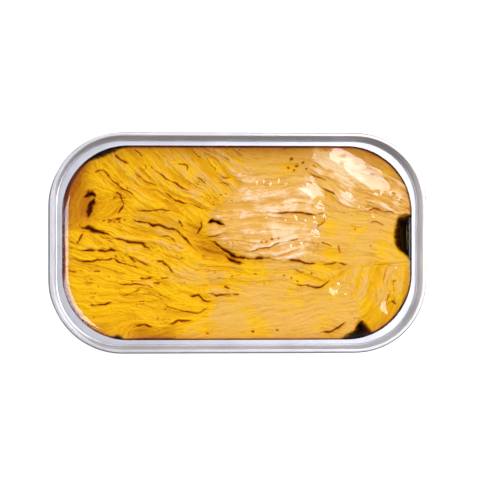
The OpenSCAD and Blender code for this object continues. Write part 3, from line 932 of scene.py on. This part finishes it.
# Softboxes: azimuth (0 is +X, 90 is +Y) and angle from straight above in degrees, distance and size
# in metres, watts, colour
SOFTBOXES = {
    "key_softbox": (22, 32, 1.1, (0.42, 0.68), 8.4, (0.96, 0.98, 1.12)),
    "top_softbox": (100, 60, 1.3, (0.35, 0.9), 2.5, (1, 1, 1)),
    "left_softbox": (186, 34, 1.4, (0.4, 0.62), 3.6, (1, 1, 1)),
}

CAMERA_TILT = math.radians(6.0)               # from straight above, towards the left
CAMERA_FAR = 0.9
FRAME_WIDE = 0.1355                           # what the frame takes in at the rim
SENSOR = 36
AIM = (0.0002, 0.0008)                        # where the camera looks on the rim's plane, in metres


def lay_floor():
    s = FLOOR_HALF
    mesh = bpy.data.meshes.new("studio_floor")
    mesh.from_pydata([(-s, -s, 0), (s, -s, 0), (s, s, 0), (-s, s, 0)], [], [[0, 1, 2, 3]])
    mesh.materials.append(studio_floor())
    floor = bpy.data.objects.new("studio_floor", mesh)
    bpy.context.scene.collection.objects.link(floor)
    floor.location.z = -FLOOR_DROP


def light_studio():
    """Soft light from all round: by height, warmer at the right, dim in front."""
    world = bpy.data.worlds.new("studio")
    bpy.context.scene.world = world
    world.use_nodes = True
    nodes, links = world.node_tree.nodes, world.node_tree.links
    where = node(nodes, "ShaderNodeTexCoord")
    apart = node(nodes, "ShaderNodeSeparateXYZ")
    links.new(where.outputs["Generated"], apart.inputs[0])
    across, deep, up = apart.outputs
    shaded = node(nodes, "ShaderNodeVectorMath", operation="MULTIPLY")
    links.new(graded(nodes, links, up, DOME), shaded.inputs[0])
    links.new(graded(nodes, links, scaled(nodes, links, across, -1.0, 1.0), SIDE_CAST), shaded.inputs[1])
    dimmed = node(nodes, "ShaderNodeVectorMath", operation="SCALE")
    links.new(shaded.outputs[0], dimmed.inputs[0])
    links.new(scaled(nodes, links, deep, *FRONT_TO_BACK), dimmed.inputs[3])
    links.new(dimmed.outputs[0], nodes["Background"].inputs["Color"])
    nodes["Background"].inputs["Strength"].default_value = STUDIO_STRENGTH


def hang_softbox(name, azimuth, from_top, distance, size, power, colour):
    """A rectangular light that looks at the middle of the oil."""
    light = bpy.data.lights.new(name, "AREA")
    light.shape = "RECTANGLE"
    light.size, light.size_y = size
    light.energy = power
    light.color = colour
    obj = bpy.data.objects.new(name, light)
    bpy.context.scene.collection.objects.link(obj)
    a, t = math.radians(azimuth), math.radians(from_top)
    away = Vector((math.cos(a) * math.sin(t), math.sin(a) * math.sin(t), math.cos(t)))
    obj.location = Vector((0, 0, LEVEL * MM)) + away * distance
    obj.rotation_mode = "QUATERNION"
    obj.rotation_quaternion = away.to_track_quat("Z", "Y")


def set_camera():
    data = bpy.data.cameras.new("camera")
    data.sensor_width = SENSOR
    data.lens = SENSOR * CAMERA_FAR / FRAME_WIDE
    data.clip_start, data.clip_end = 0.05, 20
    camera = bpy.data.objects.new("camera", data)
    bpy.context.scene.collection.objects.link(camera)
    away = Vector((-math.sin(CAMERA_TILT), 0, math.cos(CAMERA_TILT)))
    across = Vector((math.cos(CAMERA_TILT), 0, math.sin(CAMERA_TILT)))
    camera.location = Vector((*AIM, rim_hi[2] * MM)) + away * CAMERA_FAR
    camera.rotation_mode = "QUATERNION"
    camera.rotation_quaternion = Matrix((across, (0, 1, 0), away)).transposed().to_quaternion()
    bpy.context.scene.camera = camera
    bpy.context.scene.view_settings.view_transform = "Standard"


# ---------------------------------------------------------------- build
marks_group = sheet_marks_group()
for name, sheet in (
    ("end_ring", sheet_metal("end sheet", marks_group, (0.67, 0.665, 0.675), (0.58, 0.575, 0.585),
                             0.00022, 0.00006, (0.32, 0.46))),
    ("can_body", sheet_metal("drawn sheet", marks_group, (0.78, 0.775, 0.77), (0.69, 0.685, 0.68),
                             0.0003, 0.00003, (0.26, 0.4))),
):
    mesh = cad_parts[name].data
    mesh.materials.clear()
    mesh.materials.append(sheet)

relief = Relief()
flesh = tuna_flesh()
for k, name in enumerate(FISH):
    make_flesh(relief, name, flesh, 60 + k)
make_oil(relief, golden_oil())

lay_floor()
light_studio()
for name, values in SOFTBOXES.items():
    hang_softbox(name, *values)
set_camera()
